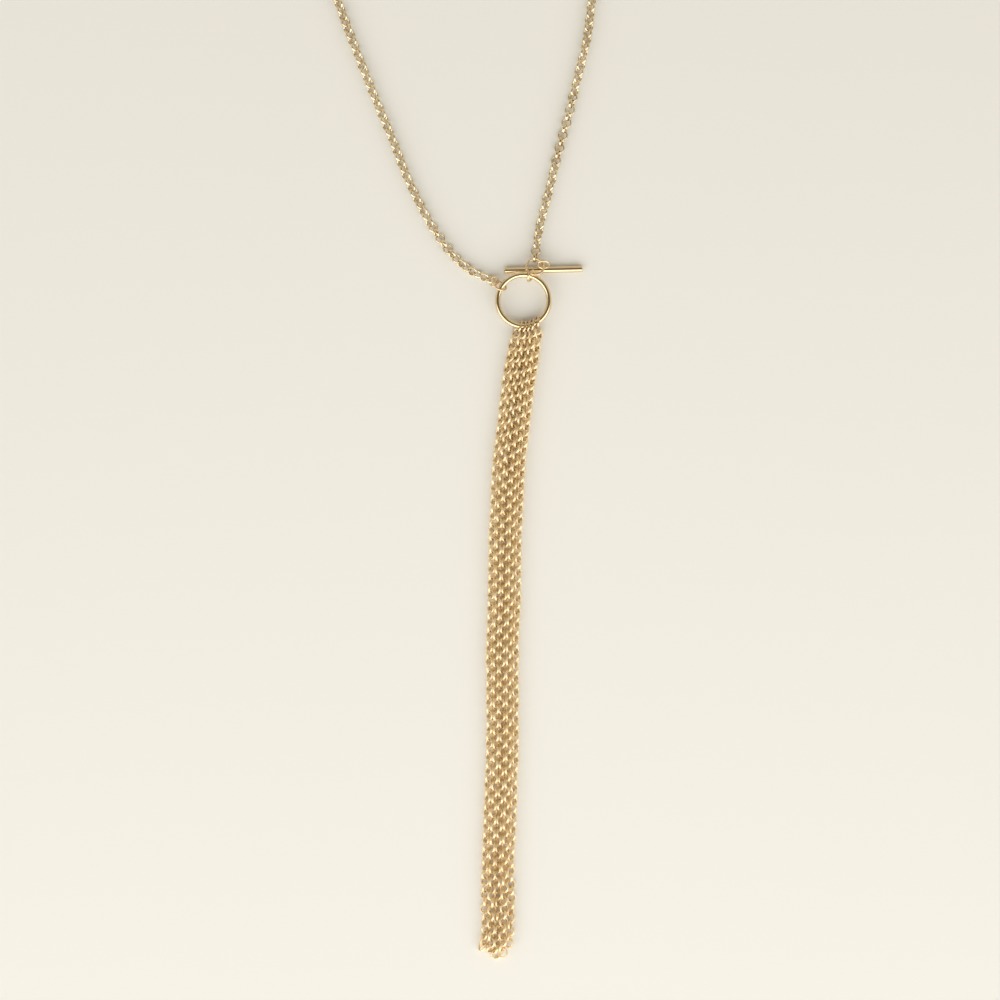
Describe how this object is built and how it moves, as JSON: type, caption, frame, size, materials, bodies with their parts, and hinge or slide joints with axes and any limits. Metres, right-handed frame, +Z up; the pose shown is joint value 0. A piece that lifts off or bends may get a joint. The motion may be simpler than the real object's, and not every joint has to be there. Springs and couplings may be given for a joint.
{
  "type": "y necklace",
  "caption": "Gold-coloured link chain necklace that closes in front with a ring-and-bar toggle, from whose ring a long fringe of chains hangs.",
  "frame": {"origin": "middle of the necklace's outline, on the surface it lies on", "axes": "+Z up from the surface, +Y from the fringe's end towards the back of the neck, +X to the right as seen from above"},
  "size_m": [0.092, 0.3542, 0.0043],
  "materials": {
    "polished_gold": "polished gold plate",
    "chain_gold": "polished gold plate, link chain"
  },
  "bodies": {
    "root": {"toggle_ring": "polished_gold", "toggle_bar": "polished_gold", "bar_jump": "polished_gold", "bar_link": "polished_gold", "left_jump_1": "polished_gold", "left_jump_2": "polished_gold", "fringe_jump_1": "polished_gold", "fringe_jump_2": "polished_gold", "fringe_jump_3": "polished_gold", "fringe_jump_4": "polished_gold", "fringe_jump_5": "polished_gold", "neck_chain": "chain_gold", "fringe_strand_1": "chain_gold", "fringe_strand_2": "chain_gold", "fringe_strand_3": "chain_gold", "fringe_strand_4": "chain_gold", "fringe_strand_5": "chain_gold"}
  },
  "joints": []
}
